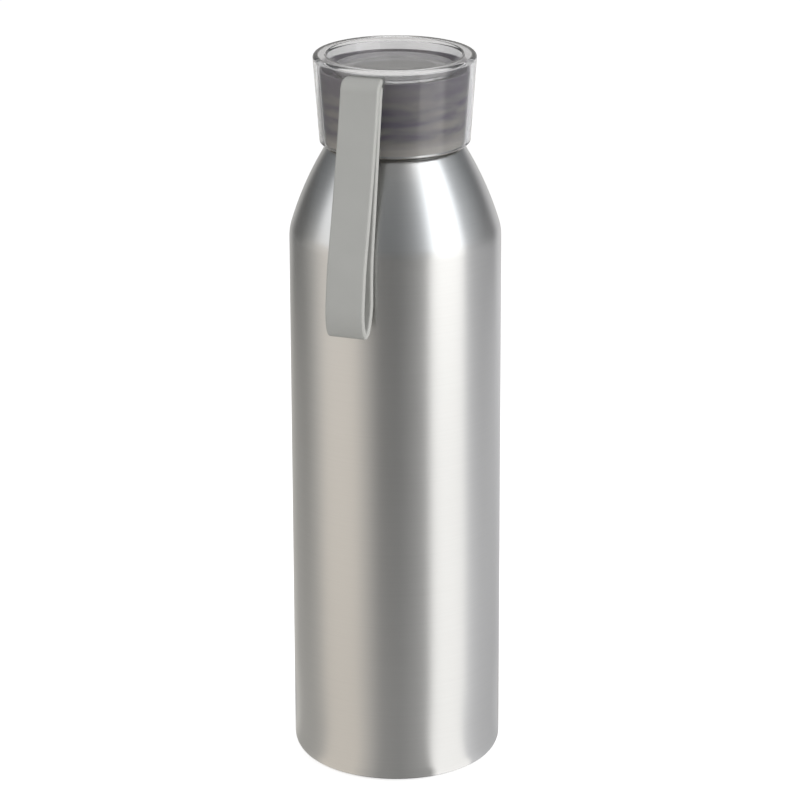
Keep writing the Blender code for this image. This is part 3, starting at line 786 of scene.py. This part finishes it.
def studio_floor():
    """A plain pale floor, which polished things see as a sheet that mirrors the curtains."""
    bpy.ops.mesh.primitive_plane_add(size=FLOOR_SIZE)
    floor = bpy.context.active_object
    floor.name = "studio_floor"
    material, tree = new_material("pale_floor")
    path = node(tree, "ShaderNodeLightPath")
    seen = node(tree, "ShaderNodeMath", {
        0: path.outputs["Is Camera Ray"], 1: path.outputs["Is Transmission Ray"]}, operation="MAXIMUM")
    pale = node(tree, "ShaderNodeBsdfDiffuse", {"Color": linear("dcdcda")})
    lift = node(tree, "ShaderNodeMath", {0: seen.outputs["Value"], 1: FLOOR_LIFT}, operation="MULTIPLY")
    glow = node(tree, "ShaderNodeEmission", {
        "Color": linear("ffffff"), "Strength": lift.outputs["Value"]})
    lit = node(tree, "ShaderNodeAddShader", {0: pale.outputs["BSDF"], 1: glow.outputs["Emission"]})
    sheet = node(tree, "ShaderNodeBsdfGlossy", {"Color": linear("ffffff"), "Roughness": 0.05})
    whole = node(tree, "ShaderNodeMixShader", {
        "Fac": path.outputs["Is Glossy Ray"], 1: lit.outputs["Shader"], 2: sheet.outputs["BSDF"]})
    node(tree, "ShaderNodeOutputMaterial", {"Surface": whole.outputs["Shader"]})
    floor.data.materials.append(material)


def curtain(name, foot, head, stops, gloss=True, through=True):
    """A curved curtain of light round the bottle, seen in gloss, through clear plastic, or both ways.

    The rows run evenly from foot to head, which are (distance from the axis, height). Along a row the
    azimuth from the camera's side and the light run evenly from one stop to the next, and from foot
    to head within each stop (degrees at the foot, degrees at the head, colour, strength at the foot,
    strength at the head).
    """
    place = np.linspace(0, len(stops) - 1, CURTAIN_COLUMNS * (len(stops) - 1) + 1)
    order = np.arange(len(stops))
    up = np.linspace(0, 1, CURTAIN_ROWS)[:, None]
    first, last, foot_level, head_level = [
        np.interp(place, order, [stop[column] for stop in stops]) for column in (0, 1, 3, 4)]
    turn = CAMERA_AZIMUTH + np.radians((1 - up) * first + up * last)
    level = (1 - up) * foot_level + up * head_level
    distance, height = [a + up * (b - a) for a, b in zip(foot, head)]
    points = np.stack([
        distance * np.sin(turn), -distance * np.cos(turn),
        np.broadcast_to(height, turn.shape)], axis=-1)
    colour = np.array([linear(stop[2]) for stop in stops]).T
    glow = np.stack([level * np.interp(place, order, channel) for channel in colour], axis=-1)
    index = np.arange(turn.size).reshape(turn.shape)
    thing = mesh_object(name, points, [quads(index).reshape(-1, 4)])
    colours = thing.data.attributes.new("glow", "FLOAT_COLOR", "POINT")
    colours.data.foreach_set("color", glow.astype(np.float32).ravel())
    material, tree = new_material(name)
    written = node(tree, "ShaderNodeAttribute", attribute_name="glow")
    shine = node(tree, "ShaderNodeEmission", {"Color": written.outputs["Color"], "Strength": 1.0})
    node(tree, "ShaderNodeOutputMaterial", {"Surface": shine.outputs["Emission"]})
    # Matt surfaces are lit by the lamps and the room, so no light needs to be sampled here
    material.cycles.emission_sampling = "NONE"
    thing.data.materials.append(material)
    thing.visible_camera = False
    thing.visible_diffuse = False
    thing.visible_shadow = False
    thing.visible_glossy = gloss
    thing.visible_transmission = through


def softbox(name, azimuth, elevation, size, radiance):
    """A rectangular area lamp that faces the bottle and lights matt surfaces: power is four times
    radiance times area. Polished things see the curtains in its place.
    """
    data = bpy.data.lights.new(name, "AREA")
    data.shape = "RECTANGLE"
    data.size, data.size_y = size
    data.energy = radiance * 4 * size[0] * size[1]
    lamp = bpy.data.objects.new(name, data)
    turn = math.radians(azimuth) + CAMERA_AZIMUTH
    rise = math.radians(elevation)
    away = Vector((math.sin(turn) * math.cos(rise), -math.cos(turn) * math.cos(rise), math.sin(rise)))
    lamp.location = Vector((0, 0, SOFTBOX_AIM_Z)) + away * SOFTBOX_DISTANCE
    lamp.rotation_mode = "QUATERNION"
    lamp.rotation_quaternion = away.to_track_quat("Z", "Y")
    lamp.visible_camera = False
    lamp.visible_glossy = False
    lamp.visible_transmission = False
    bpy.context.scene.collection.objects.link(lamp)


def studio_world():
    """Soft light from all round, and a white room for the camera, gloss and clear plastic."""
    world = bpy.data.worlds.new("white_room")
    world.use_nodes = True
    tree = world.node_tree
    tree.nodes.clear()
    path = node(tree, "ShaderNodeLightPath")
    seen = node(tree, "ShaderNodeMath", {
        0: path.outputs["Is Camera Ray"], 1: path.outputs["Is Glossy Ray"]}, operation="MAXIMUM")
    seen = node(tree, "ShaderNodeMath", {
        0: seen.outputs["Value"], 1: path.outputs["Is Transmission Ray"]}, operation="MAXIMUM")
    soft = node(tree, "ShaderNodeBackground", {"Color": linear("fafbff"), "Strength": ROOM_LEVEL})
    white = node(tree, "ShaderNodeBackground", {"Color": linear("ffffff"), "Strength": 1.0})
    mixed = node(tree, "ShaderNodeMixShader", {
        "Fac": seen.outputs["Value"], 1: soft.outputs["Background"], 2: white.outputs["Background"]})
    node(tree, "ShaderNodeOutputWorld", {"Surface": mixed.outputs["Shader"]})
    bpy.context.scene.world = world


def studio_camera():
    """The camera at the photograph's angle: distant, looking slightly down, the loop to its left."""
    data = bpy.data.cameras.new("camera")
    data.lens = CAMERA_LENS
    data.sensor_width = CAMERA_SENSOR
    data.clip_start = 0.05
    data.clip_end = 50.0
    camera = bpy.data.objects.new("camera", data)
    away = Vector((
        math.sin(CAMERA_AZIMUTH) * math.cos(CAMERA_ELEVATION),
        -math.cos(CAMERA_AZIMUTH) * math.cos(CAMERA_ELEVATION),
        math.sin(CAMERA_ELEVATION)))
    right = Vector((math.cos(CAMERA_AZIMUTH), math.sin(CAMERA_AZIMUTH), 0))
    place = Vector((0, 0, CAMERA_AIM_Z)) + away * CAMERA_DISTANCE + right * CAMERA_SIDESTEP
    turn = away.to_track_quat("Z", "Y").to_matrix().to_4x4()
    camera.matrix_world = Matrix.Translation(place) @ turn @ Matrix.Rotation(CAMERA_ROLL, 4, "Z")
    bpy.context.scene.collection.objects.link(camera)
    bpy.context.scene.camera = camera


def studio_lights():
    """Lamps for matt surfaces, and the curtains and floor rings that gloss and clear plastic see."""
    softbox("key_softbox", 57, 12, (0.72, 1.0), 3.0)
    softbox("fill_softbox", -71, 12, (0.80, 1.0), 1.1)
    softbox("top_softbox", 10, 75, (0.6, 0.6), 1.0)

    # The bright bands are at about -84 to -48 and 38 to 78 degrees, with dimmer light between them.
    # The low curtain shows in the wall, and the high one and the top one in the shoulder and the lid.
    curtain("low_curtain", CURTAIN_FOOT, CURTAIN_WAIST, [
        (-150, -150, "fffefb", 0.50, 0.32), (-140, -140, "fffefb", 0.18, 0.08),
        (-118, -118, "fffefb", 0.22, 0.10), (-100, -100, "fffdf8", 0.44, 0.45),
        (-84, -84, "fff9f2", 0.76, 0.88), (-48, -48, "fff8ef", 0.76, 0.86),
        (-18, -18, "fffdfa", 0.17, 0.24), (4, 4, "fffefc", 0.14, 0.16),
        (35, 38, "fffefc", 0.42, 0.48), (37, 39, "fffefc", 1.60, 1.70),
        (77, 77, "fffefc", 1.50, 1.60), (80, 78, "fdfdff", 0.54, 0.60),
        (110, 110, "fdfdff", 0.42, 0.22), (132, 132, "fdfdff", 0.30, 0.12),
        (142, 142, "fdfdff", 0.72, 0.42), (150, 150, "fdfdff", 0.76, 0.46)])
    curtain("high_curtain", CURTAIN_WAIST, CURTAIN_HEAD, [
        (-150, -150, "f7fbff", 0.12, 0.12), (-108, -108, "f7fbff", 0.24, 0.24),
        (-98, -98, "f7fbff", 0.38, 0.38), (-90, -90, "fbfdff", 1.20, 1.20),
        (-50, -50, "fbfdff", 0.96, 0.96), (-26, -26, "f7fbff", 0.26, 0.28),
        (-12, -12, "f7fbff", 0.17, 0.23), (6, 6, "f7fbff", 0.19, 0.21),
        (24, 24, "f7fbff", 0.34, 0.32), (38, 41, "f7fbff", 0.80, 0.80),
        (39, 42, "f7fbff", 2.10, 2.10), (77, 85, "f7fbff", 2.00, 2.00),
        (78, 86, "f7fbff", 0.66, 0.66), (98, 98, "f7fbff", 0.44, 0.50),
        (120, 120, "f7fbff", 0.22, 0.24), (150, 150, "f7fbff", 0.18, 0.18)])
    curtain("top_curtain", CURTAIN_HEAD, CURTAIN_CROWN, [
        (-150, -150, "fffcf6", 0.42, 0.42), (-100, -100, "fffcf6", 0.55, 0.55),
        (-84, -84, "fff9f2", 1.00, 1.00), (-48, -48, "fff9f2", 1.00, 1.00),
        (-18, -18, "fffdfa", 0.34, 0.34), (4, 4, "fffefc", 0.25, 0.25),
        (30, 44, "fffefc", 0.60, 0.60), (31, 45, "fffefc", 1.68, 1.68),
        (79, 88, "fffefc", 1.55, 1.55), (80, 89, "fdfdff", 0.85, 0.85),
        (110, 110, "fdfdff", 0.62, 0.62), (150, 150, "fdfdff", 0.72, 0.72)])

    # Behind the bottle, gloss sees a curtain that dims upwards and clear plastic sees an even panel.
    curtain("back_curtain", CURTAIN_FOOT, CURTAIN_HEAD, [
        (150, 150, "fdfdff", 0.76, 0.20), (170, 170, "fffdfa", 0.76, 0.20),
        (190, 190, "fffdfa", 0.72, 0.20), (210, 210, "fffefb", 0.50, 0.20)], through=False)
    curtain("back_panel", CURTAIN_FOOT, CURTAIN_HEAD, [
        (150, 150, "fffefc", 0.80, 0.80), (210, 210, "fffefc", 0.80, 0.80)], gloss=False)

    # Light at the floor's rings: azimuth, colour, and the strength at each ring's edge outwards
    floor_light = [
        (-180, "fffcf6", 0.72, 0.76, 0.74, 0.68, 0.60), (-150, "fffcf6", 0.44, 0.44, 0.44, 0.36, 0.24),
        (-118, "fffcf6", 0.42, 0.40, 0.36, 0.28, 0.20), (-100, "fffbf4", 0.48, 0.48, 0.48, 0.52, 0.44),
        (-84, "fff7ec", 0.72, 0.72, 0.76, 0.80, 0.76), (-48, "fff7ec", 0.72, 0.72, 0.76, 0.80, 0.76),
        (-18, "fffdfa", 0.32, 0.31, 0.27, 0.20, 0.17), (4, "fffefc", 0.28, 0.28, 0.24, 0.19, 0.17),
        (35, "fffefc", 0.40, 0.40, 0.38, 0.40, 0.42), (43, "fffefc", 1.22, 1.22, 1.26, 1.16, 1.50),
        (82, "fffefc", 1.18, 1.18, 1.20, 1.10, 1.40), (89, "fdfdff", 0.74, 0.74, 0.74, 0.66, 0.56),
        (110, "fdfdff", 0.60, 0.60, 0.60, 0.50, 0.42), (150, "fdfdff", 0.54, 0.52, 0.56, 0.68, 0.74),
        (180, "fdfdff", 0.66, 0.68, 0.76, 0.82, 0.86)]
    for i in range(len(GLOW_RADII) - 1):
        inner, outer = GLOW_RADII[i:i + 2]
        first, last = GLOW_TURNS[i:i + 2]
        curtain("floor_glow_" + str(i + 1), (inner, GLOW_Z), (outer, GLOW_Z), [
            (first * azimuth, last * azimuth, colour, *levels[i:i + 2])
            for azimuth, colour, *levels in floor_light], through=False)


def main():
    """Clears Blender's own starting objects, builds and dresses the pieces, and sets up the studio."""
    for thing in list(bpy.data.objects):
        if thing.type in ("CAMERA", "LIGHT") or thing.name == "Cube":
            bpy.data.objects.remove(thing)
    studio_camera()
    shell = dress(bottle_shell(), brushed_aluminium())
    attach(shell, "bottle")
    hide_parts("bottle_body")
    clear = dress(cover(), clear_plastic())
    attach(clear, "lid")
    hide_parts("lid_cover")
    smoky = dress(insert(), smoky_plastic())
    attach(smoky, "lid")
    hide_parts("lid_insert")
    ring = dress(seal(), silicone("seal_silicone", "c9c8c2", "d3d2cc", 0.5))
    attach(ring, "lid_carrier")
    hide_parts("seal_ring")
    loop = dress(strap(), silicone("warm_grey_silicone", "aaaaa6", "b2b2ae", 0.5))
    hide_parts("strap_loop", "strap_anchor")
    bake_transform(loop)

    studio_floor()
    studio_world()
    studio_lights()

    scene = bpy.context.scene
    scene.view_settings.view_transform = "Standard"


main()
